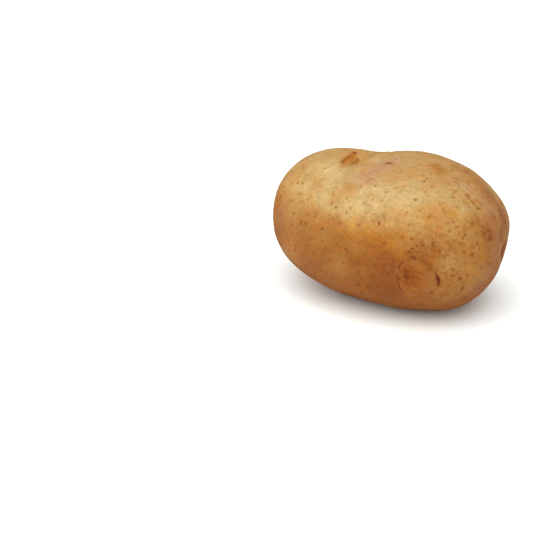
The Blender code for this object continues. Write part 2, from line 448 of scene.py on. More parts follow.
UMBER_STAINS = {
    "dash": ([(387, 163.3), (390.6, 163)], 1.3, 0.5),
    # Partly painted shade: eye_facet and the eye's corner here are the top eye's dark cork and the shade that
    # its brow casts.
    "eye_facet": ([(343.6, 161.8), (346, 159.2), (349, 157.6), (353.4, 154.6)], 1.0, 0.5),
    "eye_corner": ([(354.4, 152.8)], 1.2, 1.0),
    "rose_spot_left": ([(483.8, 233.2)], 1.0, 0.5),
    "rose_spot_top": ([(488.2, 230.8)], 0.9, 0.5),
    "rose_spot_low": ([(489.6, 238.2)], 1.0, 0.5),
    "slit_shade": ([(437.4, 277), (439, 281.5), (438.4, 285)], 1.1, 0.5),
    # Painted shade: this stroke darkens the skin along the outline of the rose end.
    "rose_rim": ([(502, 214), (504, 224)], 2.5, 0.2),
    # Partly painted shade: these two darken the deep crease of the rose-end eye and its floor, as the shade
    # that falls into them, besides their dark cork.
    "rose_eye": ([(504.4, 246), (503.2, 250.6), (502.4, 253.6)], 1.8, 1.0),
    "rose_eye_floor": ([(505.2, 244.6), (504.4, 248.4), (503.4, 252.4)], 2.3, 1.0),
    "belly_freckles": ([(410, 256), (414, 258)], 1.8, 0.2),
    "flank_freckles": ([(433, 247), (436, 253)], 2.0, 0.2),
    "heel_spot": ([(463.5, 299)], 1.4, 0.6),
}
print(len(BROWN_STAINS), "brown stains and", len(UMBER_STAINS), "umber ones")

# %% Name the stains of another hue, and gather all
OCHRE_STAINS = {
    "stem_end": ([(276, 204), (284, 186)], 5.0, 0.9),
    "stem_shoulder": ([(294, 190), (300, 182)], 3.5, 0.6),
    "right_crown": ([(424, 218), (454, 214)], 5.0, 0.6),
    "waist": ([(352, 227), (372, 236), (396, 244)], 5.5, 0.8),
    "eye_hollow": ([(410, 268), (416, 284)], 5.5, 0.55),
    "eye_facet": ([(345, 163), (345, 160), (353, 155.4), (354, 162.4), (348, 162.4)], 1.8, 0.7),
    "eye_ledge": ([(361, 156), (372, 152.6)], 2.2, 0.8),
    "top_rim": ([(336, 149.6), (348, 149.4)], 2.5, 0.4),
    "crown_spot": ([(437, 169)], 2.6, 0.35),
    "low_right": ([(470, 262), (482, 256)], 5.0, 0.4),
    "rose_eye": ([(504.2, 244), (501.6, 258)], 2.2, 0.8),
}
ROSE_STAINS = {
    "saddle": ([(368, 177), (390, 162)], 5.5, 1.0),
    "right_slope": ([(456, 180), (486, 204)], 5.0, 0.55),
    "rose_edge": ([(494, 212), (497, 250)], 4.0, 0.4),
    "low_edge": ([(492, 268), (476, 286)], 4.5, 0.6),
    "shoulder": ([(488, 190), (500, 206)], 3.5, 0.5),
    "top_right": ([(450, 162), (462, 168)], 3.0, 0.5),
    # Painted shadow: this gives the belly's edge the cooler hue of the shade of a neighbouring potato, which
    # the scene leaves out.
    "belly_edge": ([(386, 262), (390, 284)], 4.0, 0.6),
    "heel": ([(426, 285), (444, 291)], 4.0, 0.4),
    "rose_blotch": ([(485, 224), (490, 235)], 3.0, 0.6),
}
SEEN_STAINS = {
    "cream": CREAM_STAINS, "brown": BROWN_STAINS, "umber": UMBER_STAINS,
    "ochre": OCHRE_STAINS, "rose": ROSE_STAINS,
}
print(sum(len(group) for group in SEEN_STAINS.values()), "stains are placed by pixel")

# %% [markdown]
# ## Marks where the picture shows none
# The back and the underside get the same kinds of marks, at random places. Random points alone clump and
# leave gaps, so a new pore is kept only if it lies some millimetres from every other one, as on a real
# potato. The random numbers start from a fixed seed, which is why each run makes the same potato.

# %% Draw random directions
DRAW_SEED = 7
# Part of the skin is covered in the picture, inside this disc, so its marks are made up as those behind are.
COVERED_MIDDLE = (277, 303)
COVERED_RADIUS = 97
# Skin is seen if the cosine of the angle between its direction and the camera's is more than this.
FACING_LIMIT = 0.05

draw = random.Random(DRAW_SEED)


def random_way():
    """Random direction from the middle, spread evenly over the potato's stretched surface."""
    return Vector([draw.gauss(0, 1) * side for side in half_size])


def is_shown(way):
    """Whether the picture shows the skin in that direction."""
    x, y = pixel_of(skin_towards(way))
    covered = math.hypot(x - COVERED_MIDDLE[0], y - COVERED_MIDDLE[1]) <= COVERED_RADIUS
    return way.normalized().dot(back) > FACING_LIMIT and not covered


print("the picture shows the skin under the camera:", is_shown(back))

# %% Scatter the other pores
PORE_COUNT = 190
PORE_GAP = 4.5 * MM
PORE_TRIES = 6000
# Two of three scattered pores are faint.
PORE_KINDS = ("bold", "faint", "faint")

pores = {
    "bold": [skin_at(pixel) for group in BOLD_PORES.values() for pixel in group],
    "faint": [skin_at(pixel) for group in FAINT_PORES.values() for pixel in group],
}
pore_total = seen_pore_count + PORE_COUNT
for _ in range(PORE_TRIES):
    everywhere = pores["bold"] + pores["faint"]
    if len(everywhere) == pore_total:
        break
    way = random_way()
    spot = skin_towards(way)
    if not is_shown(way) and all((spot - other).length > PORE_GAP for other in everywhere):
        pores[draw.choice(PORE_KINDS)].append(spot)
print({kind: len(group) for kind, group in pores.items()}, "pores in all")

# %% Scatter the other flecks
STROKE_STEP = 0.6 * MM
FLECK_COUNTS = {"bold": 25, "faint": 75}
# A random stroke is about this share of the potato's size long.
FLECK_LENGTH = 0.04


def stroke_spots(ends):
    """Points of the guide along straight strokes between a few of its points."""
    spots = [ends[0]]
    for start, end in zip(ends, ends[1:], strict=False):
        steps = max(1, round((end - start).length / STROKE_STEP))
        spots += [skin_towards(start.lerp(end, step / steps) - middle) for step in range(1, steps + 1)]
    return spots


flecks = {
    "bold": [stroke_spots([skin_at(pixel) for pixel in pixels]) for pixels in BOLD_FLECKS],
    "faint": [stroke_spots([skin_at(pixel) for pixel in pixels]) for pixels in FAINT_FLECKS],
}
for kind, count in FLECK_COUNTS.items():
    while count:
        way = random_way()
        if not is_shown(way):
            ends = [skin_towards(way), skin_towards(way + random_way() * FLECK_LENGTH)]
            flecks[kind].append(stroke_spots(ends))
            count -= 1
print({kind: len(group) for kind, group in flecks.items()}, "flecks in all")

# %% Scatter the other stains
STAIN_COUNTS = {"cream": 15, "brown": 15, "umber": 5, "ochre": 10, "rose": 5}
# Least and greatest half width in mm, and then strength. The length is a share, as that of the flecks is.
STAIN_RADII = {"cream": (4, 7), "brown": (2, 6), "umber": (1, 2.5), "ochre": (3, 7), "rose": (4, 7)}
STAIN_STRENGTHS = (0.5, 0.9)
STAIN_LENGTH = 0.15

stains = {name: [] for name in SEEN_STAINS}
for name, group in SEEN_STAINS.items():
    for pixels, radius, strength in group.values():
        spots = stroke_spots([skin_at(pixel) for pixel in pixels])
        stains[name].append((spots, radius * MM, strength))
for name, count in STAIN_COUNTS.items():
    while count:
        way = random_way()
        if not is_shown(way):
            ends = [skin_towards(way), skin_towards(way + random_way() * STAIN_LENGTH)]
            radius = draw.uniform(*STAIN_RADII[name])
            stains[name].append((stroke_spots(ends), radius * MM, draw.uniform(*STAIN_STRENGTHS)))
            count -= 1
print({name: len(group) for name, group in stains.items()}, "stains in all")

# %% [markdown]
# ## The lines that creases follow
# A few pixels or angles give only the corners of a crease. A smooth curve is drawn through them and laid on
# the guide in steps of a third of a millimetre, fine enough for each vertex of the skin to find how far it
# lies from the crease, on which side of it, and how near to its end.

# %% Lay the seen creases on the guide
LINE_STEP = 0.35 * MM
# The fold of the saddle runs on over the crown to these degrees round and up.
TOP_FOLD_END = ((112, 62), (112, 48))


def surface_line(corners):
    """Evenly spaced points of the guide along a smooth curve through a few of its points."""
    points = [corners[0] * 2 - corners[1], *corners, corners[-1] * 2 - corners[-2]]
    line = []
    for a, b, c, d in zip(points, points[1:], points[2:], points[3:], strict=False):
        steps = max(2, round((c - b).length / LINE_STEP))
        for step in range(steps):
            t = step / steps
            spot = (
                b * 2 + (c - a) * t
                + (a * 2 - b * 5 + c * 4 - d) * t**2
                + (b * 3 - a - c * 3 + d) * t**3
            ) / 2
            line.append(skin_towards(spot - middle))
    return [*line, corners[-1]]


lines = {
    kind: {name: surface_line([skin_at(pixel) for pixel in pixels]) for name, pixels in seen.items()}
    for kind, seen in (("brow", SEEN_BROWS), ("slit", SEEN_SLITS), ("fold", SEEN_FOLDS))
}
top_fold = lines["fold"]["top_fold"]
top_fold += surface_line([top_fold[-1], *(skin_round(*place) for place in TOP_FOLD_END)])[1:]
buds = [skin_at(pixel) for pixels in SEEN_BUDS.values() for pixel in pixels]
print({kind: len(group) for kind, group in lines.items()}, "lines and", len(buds), "buds")

# %% Build the hidden eyes
# Corners on each side of a brow's middle, and how unevenly they lie.
BROW_CORNERS = 3
BROW_WOBBLE = 0.06
# A brow is wider than a round arc, and is drawn towards its buds, in radii of the brow.
BROW_WIDTH = 1.25
BROW_DRAW = 0.45
BUD_NUMBERS = (3, 4, 5)
# Mean and spread in mm of where buds lie, towards the rose end and across.
BUD_AHEAD = (0.3, 0.8)
BUD_ACROSS = (0, 1.4)
# An eye's own stains: half width in radii of the brow, and strength.
EYE_STAINS = {"brown": (0.5, 0.8), "ochre": (0.6, 0.7)}
EYE_STAIN_LENGTH = 2 * MM


def eye_frame(centre):
    """Along the skin towards the rose end, across, and outwards, at a point of the guide."""
    outward = guide_tree.find_nearest(centre)[1]
    along = Vector((1, 0, 0)) - outward * outward.x
    along.normalize()
    return along, outward.cross(along), outward


for name, (turn, rise, radius, spread) in HIDDEN_EYES.items():
    centre = skin_round(turn, rise)
    along, across, _ = eye_frame(centre)
    corners = []
    for step in range(-BROW_CORNERS, BROW_CORNERS + 1):
        angle = math.radians(spread * step / BROW_CORNERS)
        reach = radius * (1 + draw.uniform(-BROW_WOBBLE, BROW_WOBBLE)) * MM
        sideways = across * math.sin(angle) * -BROW_WIDTH
        spot = centre + (sideways - along * (math.cos(angle) - BROW_DRAW)) * reach
        corners.append(skin_towards(spot - middle))
    lines["brow"][name] = surface_line(corners[::-1])
    for _ in range(draw.choice(BUD_NUMBERS)):
        spot = centre + (along * draw.gauss(*BUD_AHEAD) + across * draw.gauss(*BUD_ACROSS)) * MM
        buds.append(skin_towards(spot - middle))
    for kind, (share, strength) in EYE_STAINS.items():
        spots = stroke_spots([centre, centre + along * EYE_STAIN_LENGTH])
        stains[kind].append((spots, share * radius * MM, strength))
print(len(HIDDEN_EYES), "eyes are added, which makes", len(buds), "buds")

# %% Build the growth cracks
# Where the corners of a crack lie along it, and how far it bows, both in lengths of the crack.
SLIT_CORNERS = (-0.5, -0.2, 0.2, 0.5)
SLIT_BOW = 0.12

for name, (turn, rise, length, lean) in HIDDEN_SLITS.items():
    centre = skin_round(turn, rise)
    along, across, outward = eye_frame(centre)
    way = along * math.cos(math.radians(lean)) + across * math.sin(math.radians(lean))
    bow = outward.cross(way) * SLIT_BOW
    corners = [
        centre + (way * share + bow * (1 - 4 * share**2)) * length * MM for share in SLIT_CORNERS
    ]
    lines["slit"][name] = surface_line([skin_towards(corner - middle) for corner in corners])
print({kind: len(group) for kind, group in lines.items()}, "lines in all")

# %% [markdown]
# ## The skin mesh
# A stretched UV sphere would pinch at its poles, and a voxel remesh would make every part as heavy as the
# finest pore needs. An icosphere has triangles of nearly the same size all over and no poles. Stretched to
# the potato's proportions and cast onto the guide, its triangles are about 0.75 mm wide. They are halved
# only where an eye or a pore needs finer ones.

# %% Cast a fine sphere onto the guide
SPHERE_SUBDIVISIONS = 7

bm = bmesh.new()
bmesh.ops.create_icosphere(
    bm, subdivisions=SPHERE_SUBDIVISIONS, radius=1, matrix=Matrix.Diagonal((*half_size, 1))
)
for vert in bm.verts:
    vert.co = skin_towards(vert.co)
print("plain skin has", len(bm.faces), "triangles")

# %% Halve the triangles near the marks
# Near lines and buds they are halved twice, the second time only within the fine reach.
LINE_REACH = 3.2 * MM
LINE_FINE_REACH = 1.3 * MM
PORE_REACH = 1.0 * MM


def tree_of(spots):
    """Search tree of some points."""
    tree = KDTree(len(spots))
    for index, spot in enumerate(spots):
        tree.insert(spot, index)
    tree.balance()
    return tree


def halve_near(spots, reach):
    """Halve every edge that lies within reach of a spot, and put the new vertices on the guide."""
    tree = tree_of(spots)
    near = {vert for vert in bm.verts if tree.find(vert.co)[2] < reach}
    edges = [edge for edge in bm.edges if edge.verts[0] in near and edge.verts[1] in near]
    new = bmesh.ops.subdivide_edges(bm, edges=edges, cuts=1, use_grid_fill=True)
    bmesh.ops.triangulate(bm, faces=[face for face in bm.faces if len(face.verts) > 3])
    for vert in {item for item in new["geom_inner"] if isinstance(item, bmesh.types.BMVert)}:
        vert.co = skin_towards(vert.co - middle)


line_spots = [spot for group in lines.values() for line in group.values() for spot in line] + buds
pore_spots = [spot for group in pores.values() for spot in group]
fleck_spots = [spot for group in flecks.values() for fleck in group for spot in fleck]
halve_near(line_spots, LINE_REACH)
halve_near(line_spots, LINE_FINE_REACH)
halve_near(pore_spots + fleck_spots, PORE_REACH)
print("skin has", len(bm.faces), "triangles")

# %% [markdown]
# ## Smoothing
# Halved triangles are uneven, and where they meet whole ones the skin would show a faint edge in its gloss.
# A few rounds of smoothing move each vertex halfway to the middle of its neighbours, which evens the mesh
# out and hardly shrinks it, because the triangles are so small. A Smooth modifier does the same, but the
# next steps need the smooth mesh at once.

# %% Smooth the skin
SMOOTH_ROUNDS = 6
SMOOTH_FACTOR = 0.5

for _ in range(SMOOTH_ROUNDS):
    bmesh.ops.smooth_vert(
        bm, verts=bm.verts, factor=SMOOTH_FACTOR, use_axis_x=True, use_axis_y=True, use_axis_z=True
    )
bm.normal_update()
bm.verts.ensure_lookup_table()
print("smooth skin is", round(max(vert.co.z for vert in bm.verts) / MM, 2), "mm high")

# %% [markdown]
# ## Relief
# Every mark is a small move along the skin's normal. A Displace modifier could make each one, but then
# later marks would follow the slopes of earlier ones. Here all moves are added up first and made once.
# The same loops also write how strongly each mark shows at a vertex, and the material reads those values
# as attributes, so colour and relief always fit together.

# %% Prepare the sums
starts = [vert.co.copy() for vert in bm.verts]
normals = [vert.normal.copy() for vert in bm.verts]
lift = [0.0] * len(starts)
marks = {name: [0.0] * len(starts) for name in ("pore", "crease", "lip", "bud", *stains)}
skin_tree = tree_of(starts)


def soft(distance, width):
    """How strongly a soft mark shows at a distance: 1 in its middle, 0.37 a width away, then nearly 0."""
    return math.exp(-((distance / width) ** 2))


def mark(name, index, strength):
    """Let a mark show at a vertex at least this strongly."""
    marks[name][index] = max(marks[name][index], strength)


def near_spots(spots, reach):
    """Numbers of the vertices that lie within reach of any of the spots."""
    return sorted({found[1] for spot in spots for found in skin_tree.find_range(spot, reach)})


print(len(starts), "vertices can carry", len(marks), "kinds of marks")

# %% [markdown]
# ## Unevenness of growth
# No part of a potato is truly round, because the flesh grows faster in some places than in others. Three
# noises do this: long low waves, shorter ones, and a fine ripple that breaks up the gloss. A few swellings
# and dips then bring the outline to that of the real one, where the solid is too smooth to follow it.

# %% Raise the waves
# Length and height of each kind of wave.
WAVES = ((15 * MM, 0.36 * MM), (6 * MM, 0.12 * MM), (2.6 * MM, 0.035 * MM))

for index, start in enumerate(starts):
    for length, height in WAVES:
        lift[index] += noise.noise(start / length) * height
print("waves run from", round(min(lift) / MM, 2), "to", round(max(lift) / MM, 2), "mm")

# %% Swell the ledge behind the top eye, and lower two places on the outline
# Pixel of the middle, radius in mm, and height in mm, which is below 0 for a dip.
SWELLS = {
    "eye_ledge": ((364, 151.4), 5.0, 0.5),
    "rose_end_dip": ((504.5, 250), 7.0, -0.45),
    "right_shoulder_dip": ((502, 206), 8.0, -0.45),
}
# A search reaches this many radii, past which nearly nothing is left of a swell.
SWELL_SEARCH = 3

for pixel, radius, height in SWELLS.values():
    for _, index, distance in skin_tree.find_range(skin_at(pixel), SWELL_SEARCH * radius * MM):
        lift[index] += height * MM * soft(distance, radius * MM)
print("with swells the skin moves", round(min(lift) / MM, 2), "to", round(max(lift) / MM, 2), "mm")

# %% [markdown]
# ## Brows, slits and folds
# A brow is a step as well as a crease: the skin drops from it into the hollow of the eye, and a low lip
# stands along it. A slit is narrow and deep, and a fold is wide and shallow. All are pressed by one function
# with other measures. A crease of one even width would look cut with a knife, so it thins out towards its
# ends, and a noise makes its width and depth uneven.

# %% Give the measures of the creases
# Width, depth, step down to the hollow on the right, height of the lip there, and reach of the hollow, in mm.
LINE_SHAPES = {
    "brow": (0.50, 0.18, 0.24, 0.06, 2.8),
    "slit": (0.47, 0.50, 0.0, 0.0, 1.0),
    "fold": (1.10, 0.22, 0.0, 0.0, 1.0),
    "front_brow_below": (0.40, 0.10, 0.05, 0.05, 1.6),
    "front_brow_above": (0.42, 0.12, 0.05, 0.08, 1.6),
    "top_brow": (0.40, 0.20, 0.45, 0.0, 3.0),
    "top_fold": (1.70, 0.34, 0.0, 0.0, 1.0),
    "rose_end_brow": (0.70, 0.80, 0.70, 0.0, 3.0),
    "rose_end_fold": (0.90, 0.18, 0.0, 0.0, 1.0),
}
# How strongly each crease is coloured dark, partly as its own darker cork and partly as painted shade in it.
LINE_PAINT = {
    "brow": 0.4, "slit": 1.1, "fold": 0.35,
    "front_brow_below": 0.3, "front_brow_above": 0.35, "top_brow": 0.4,
    "top_fold": 0.12, "rose_end_brow": 1.0, "rose_end_fold": 0.2,
}
deepest = max(shape[1] for shape in LINE_SHAPES.values())
print(len(LINE_SHAPES), "kinds of creases, the deepest", deepest, "mm")

# %% Give the measures that all creases share
# A search reaches this many reaches of the hollow, or widths of the crease.
HOLLOW_SEARCH = 2.5
CREASE_SEARCH = 4
# It starts from every fourth point of a line, because the points lie so close together.
SEARCH_STRIDE = 4
# The ends of a line count as this share of its length, so that it never thins out to nothing.
END_SHARE = 0.02
# Below 1, so a line keeps most of its depth until close to its ends.
TAPER_POWER = 0.6
# Width at the ends, what it grows by in the middle, and how fast.
END_WIDTH = 0.25
MIDDLE_WIDTH = 0.95
WIDTH_POWER = 1.5
# How uneven width and depth are, and over what length.
FLAW_SIZE = 0.5
FLAW_LENGTH = 1.7 * MM
# Place and width of the lip, of the lip's colour and of the crease's colour, in widths of the crease.
LIP_PLACE = 1.9
LIP_WIDTH = 1.2
LIP_PAINT_PLACE = 2.4
LIP_PAINT_WIDTH = 1.3
CREASE_PAINT_WIDTH = 0.8
print("creases are", END_WIDTH, "of their width at the ends and", END_WIDTH + MIDDLE_WIDTH, "in the middle")

# %% Press the creases


def press_line(line, shape, paint):
    """Crease the skin along a line, with a lip on its right and a step down to a hollow behind the lip."""
    width, depth, step, lip, reach = [value * MM for value in shape]
    tree = tree_of(line)
    for index in near_spots(line[::SEARCH_STRIDE], max(reach * HOLLOW_SEARCH, width * CREASE_SEARCH)):
        spot, place, _ = tree.find(starts[index])
        ahead = line[min(place + 1, len(line) - 1)] - line[max(place - 1, 0)]
        side = ahead.cross(normals[index]).normalized()
        offset = (starts[index] - spot).dot(side)
        past = abs((starts[index] - spot).dot(ahead.normalized()))
        share = min(max(place / (len(line) - 1), END_SHARE), 1 - END_SHARE)
        arch = math.sin(math.pi * share)
        taper = arch**TAPER_POWER * soft(past, width)
        flaw = 1 + FLAW_SIZE * noise.noise(spot / FLAW_LENGTH)
        wide = width * (END_WIDTH + MIDDLE_WIDTH * arch**WIDTH_POWER) * flaw
        lift[index] -= depth * taper * flaw * soft(offset, wide)
        lift[index] += lip * taper * soft(offset - LIP_PLACE * wide, LIP_WIDTH * wide)
        if offset > 0:
            lift[index] -= step * taper * (1 - soft(offset, width)) * math.exp(-offset / reach)
        mark("crease", index, min(paint * taper * flaw * soft(offset, CREASE_PAINT_WIDTH * wide), 1))
        if lip:
            mark("lip", index, taper * soft(offset - LIP_PAINT_PLACE * wide, LIP_PAINT_WIDTH * wide))


for kind, group in lines.items():
    for name, line in group.items():
        press_line(line, LINE_SHAPES.get(name, LINE_SHAPES[kind]), LINE_PAINT.get(name, LINE_PAINT[kind]))
print("creases reach down", round(-min(lift) / MM, 2), "mm")

# %% [markdown]
# ## Buds and the stem scar
# A bud is a group of scales no taller than a grain of sand, with a faint moat round it. A smooth bump would
# look like a blister, so a noise makes its outline ragged. The stem scar is a round dent with a low corky
# rim, and it grows a darker, rougher cork than the skin round it.

# %% Raise the buds
BUD_RADIUS = 0.6 * MM
BUD_HEIGHT = 0.16 * MM
# In radii of the bud.
BUD_SEARCH = 4
BUD_RAGGEDNESS = 0.6
BUD_SIZES = (0.7, 1.15)
BUD_STRENGTHS = (0.5, 1.0)
MOAT_DEPTH = 0.10 * MM
MOAT_RADIUS = 0.9 * MM
# The moat is this many times narrower than the bud.
MOAT_NARROWNESS = 1.7

for centre in buds:
    size = draw.uniform(*BUD_SIZES)
    strength = draw.uniform(*BUD_STRENGTHS)
    for _, index, distance in skin_tree.find_range(centre, BUD_SEARCH * BUD_RADIUS):
        ragged = distance / size * (1 + BUD_RAGGEDNESS * noise.noise(starts[index] / BUD_RADIUS))
        lift[index] += BUD_HEIGHT * size * soft(ragged, BUD_RADIUS)
        lift[index] -= MOAT_DEPTH * size * soft(ragged - MOAT_RADIUS, BUD_RADIUS / MOAT_NARROWNESS)
        mark("bud", index, strength * soft(ragged, BUD_RADIUS))
print(len(buds), "buds colour", sum(value > 0 for value in marks["bud"]), "vertices")

# %% Dent the scar where the stem was
SCAR_RADIUS = 2.4 * MM
SCAR_DEPTH = 0.9 * MM
SCAR_RIM = 0.18 * MM
SCAR_RAGGEDNESS = 0.35
# Reach of the search, place and width of the rim, and width of the dark middle, in radii of the scar.
SCAR_SEARCH = 4
RIM_PLACE = 1.7
RIM_WIDTH = 0.4
SCAR_DARK_WIDTH = 0.6
SCAR_DARKNESS = 0.55
# Its stains: half width in radii of the scar, and strength.
SCAR_STAINS = {"umber": (1, 0.6), "brown": (2.5, 0.9)}

scar = skin_round(*STEM_SCAR)
for _, index, distance in skin_tree.find_range(scar, SCAR_SEARCH * SCAR_RADIUS):
    ragged = distance * (1 + SCAR_RAGGEDNESS * noise.noise(starts[index] / SCAR_RADIUS))
    lift[index] -= SCAR_DEPTH * soft(ragged, SCAR_RADIUS)
    lift[index] += SCAR_RIM * soft(ragged - RIM_PLACE * SCAR_RADIUS, RIM_WIDTH * SCAR_RADIUS)
    mark("pore", index, SCAR_DARKNESS * soft(ragged, SCAR_DARK_WIDTH * SCAR_RADIUS))
for kind, (share, strength) in SCAR_STAINS.items():
    stains[kind].append(([scar], share * SCAR_RADIUS, strength))
print("stem scar lies at", [round(value / MM, 1) for value in scar], "mm")

# %% [markdown]
# ## Pits of the pores and flecks
# A pore is a pit of about a tenth of a millimetre. A Bump in the material could draw it, but then the mesh
# itself would be smooth there. The pit hardly shows as relief, but it catches a little shade, and its dark
# cork does the rest. Each gets its own size and strength, as no two are alike.

# %% Sink the pores and flecks
# Radius and depth in mm, and how strongly the colour shows.
PORE_SHAPES = {"bold": (0.52, 0.10, 1.0), "faint": (0.48, 0.05, 0.58)}
FLECK_SHAPES = {"bold": (0.50, 0.06, 0.70), "faint": (0.52, 0.03, 0.37)}
# How much smaller or larger, and weaker or stronger, one may be.
PORE_SIZES = (0.85, 1.1)
PORE_STRENGTHS = (0.75, 1.1)
FLECK_SIZES = (0.85, 1.15)
FLECK_STRENGTHS = (0.8, 1.1)
PIT_RAGGEDNESS = 0.5
# Reach of the search, and length of the noise that makes a pit ragged, in radii of the pit.
PIT_SEARCH = 2.5
PIT_NOISE = 2


def sink(spots, radius, depth, strength):
    """Press a small pit along a few spots, and darken it."""
    tree = tree_of(spots)
    for index in near_spots(spots, PIT_SEARCH * radius):
        distance = tree.find(starts[index])[2]
        distance *= 1 + PIT_RAGGEDNESS * noise.noise(starts[index] / (PIT_NOISE * radius))
        share = strength * soft(distance, radius)
        lift[index] -= depth * share
        mark("pore", index, share)


for kind, group in pores.items():
    radius, depth, strength = PORE_SHAPES[kind]
    for centre in group:
        size = draw.uniform(*PORE_SIZES)
        sink([centre], radius * size * MM, depth * MM, strength * draw.uniform(*PORE_STRENGTHS))
for kind, group in flecks.items():
    radius, depth, strength = FLECK_SHAPES[kind]
    for spots in group:
        size = draw.uniform(*FLECK_SIZES)
        sink(spots, radius * size * MM, depth * MM, strength * draw.uniform(*FLECK_STRENGTHS))
print("pores and flecks colour", sum(value > 0 for value in marks["pore"]), "vertices")

# %% [markdown]
# ## Laying the stains
# A stain has no relief, so it only writes its values. Nodes in the material could draw stains too, but there
# are more than 150, and each would take several nodes. Where two of a kind overlap, the second covers what
# the first left free, as a second coat of thin paint does, so no place gets more than all of it.

# %% Lay the stains
# In half widths of the stain.
STAIN_SEARCH = 2.4
STAIN_RAGGEDNESS = 0.45
STAIN_WOBBLE = 4 * MM

for name, group in stains.items():
    for spots, radius, strength in group:
        stroke = tree_of(spots)
        some_spots = spots[::max(1, round(radius / STROKE_STEP))]
        for index in near_spots(some_spots, radius * STAIN_SEARCH):
            distance = stroke.find(starts[index])[2]
            distance *= 1 + STAIN_RAGGEDNESS * noise.noise(starts[index] / STAIN_WOBBLE)
            marks[name][index] += strength * soft(distance, radius) * (1 - marks[name][index])
print({name: round(max(marks[name]), 2) for name in stains}, "at the strongest")

# %% [markdown]
# ## The finished mesh
# Now each vertex moves once, by the sum of all its marks. The spot that the potato rests on stays flat: the
# relief fades out there and nothing goes below the table. The relief also makes the skin a hair larger than
# the solid, so it is stretched back, by one part in a thousand at most, to the solid's own box.

# %% Move the skin
# Relief is full from this height above the table.
FLAT_FADE = 1.5 * MM

for vert, start, normal, height in zip(bm.verts, starts, normals, lift, strict=True):
    share = min(max(start.z / FLAT_FADE, 0), 1)
    vert.co = start + normal * height * share
    vert.co.z = max(vert.co.z, 0)
for name, values in marks.items():
    layer = bm.verts.layers.float.new(name)
    for vert, value in zip(bm.verts, values, strict=True):
        vert[layer] = value
low = Vector([min(vert.co[axis] for vert in bm.verts) for axis in range(3)])
high = Vector([max(vert.co[axis] for vert in bm.verts) for axis in range(3)])
print("skin before the last fit", [round(v / MM, 3) for v in low], [round(v / MM, 3) for v in high])

# %% Fit the skin to the solid's box
stretch = Vector([2 * half_size[axis] / (high - low)[axis] for axis in range(3)])
bmesh.ops.translate(bm, verts=bm.verts, vec=-(low + high) / 2)
bmesh.ops.scale(bm, verts=bm.verts, vec=stretch)
bmesh.ops.translate(bm, verts=bm.verts, vec=middle)
skin_mesh = bpy.data.meshes.new("potato_skin")
bm.to_mesh(skin_mesh)
bm.free()
skin_mesh.shade_smooth()
potato = bpy.data.objects.new("potato_skin", skin_mesh)
bpy.context.scene.collection.objects.link(potato)
print("stretched by", [round(value, 4) for value in stretch])

# %% [markdown]
# ## The finish: washed periderm
# The skin of a potato is periderm: about ten layers of dead cork cells, a tenth of a millimetre in all, that
# grew over pale yellow flesh. Nothing but washing was done to it. That gives the eye a warm straw to russet
# colour, uneven at every size, and a satin gloss in broad soft patches that fades towards the outline,
# where light only grazes the rough cells.
#
# An image of skin would have to be unwrapped and would blur close up. Here nodes work from one value, how
# thick the cork is, so stains, pores and mottling all stay in one family of colours. The patterns are solid
# noises in Object coordinates, which have no seams and stay in place when the potato is moved.

# %% Make two helpers for the materials


def linear(hex_colour):
    """Linear colour with alpha from an sRGB hex value."""
    channels = [int(hex_colour[place:place + 2], 16) / 255 for place in (1, 3, 5)]
    return [c / 12.92 if c <= 0.04045 else ((c + 0.055) / 1.055) ** 2.4 for c in channels] + [1]


def add(tree, kind, inputs=(), out=0, **settings):
    """Add a node with its settings, fill its inputs with values or links, and return one of its outputs."""
    node = tree.nodes.new(kind)
    for name, value in settings.items():
        setattr(node, name, value)
    for name, value in dict(inputs).items():
        if isinstance(value, bpy.types.NodeSocket):
            tree.links.new(value, node.inputs[name])
        else:
            node.inputs[name].default_value = value
    return node.outputs[out]


print("middle grey in linear light is", [round(c, 3) for c in linear("#808080")])

# %% Start the material
skin = bpy.data.materials.new("potato_periderm")
skin.use_nodes = True
tree = skin.node_tree
shader = tree.nodes["Principled BSDF"]
coords = add(tree, "ShaderNodeTexCoord", out="Object")
shown = {name: add(tree, "ShaderNodeAttribute", out="Fac", attribute_name=name) for name in marks}
# Scale is 1 divided by the length of a noise's bumps. Its values seldom leave NOISE_RANGE.
CORK_NOISE = {"Vector": coords, "Detail": 2, "Roughness": 0.6}
NOISE_RANGE = {"From Min": 0.3, "From Max": 0.7}
print("the material reads", len(shown), "attributes of the mesh")

# %% [markdown]
# ## Cork and painted light by height, then cork by stain
# The cork is made paler towards the crown and browner and redder towards the underside. Part of this is
# painted light: painted sheen on the crown, and painted shade, the darker and redder tone of the lower
# flanks. Part is skin that is browner below. This could be painted on the vertices as the stains are, but
# a curve that gives the thickness at each height is easier to change. A slow noise lifts and lowers the
# height, as no such border is level. Then each stain and mark adds or takes away its share.

# %% Give the cork its thickness
# Height in mm, and how thick the cork is there: 0 is as thin as on the palest skin, 1 is thick and brown.
# Low down these values also hold painted shade, and high up painted sheen.
CORK_AND_PAINTED_LIGHT_BY_HEIGHT = (
    (0, 0.90), (12, 0.82), (22, 0.74), (32, 0.64), (40, 0.51), (47, 0.35), (53, 0.22), (62, 0.17),
)
TOP_MM = CORK_AND_PAINTED_LIGHT_BY_HEIGHT[-1][0]
WANDER_LENGTH = 12 * MM
WANDER_HEIGHT = 6 * MM

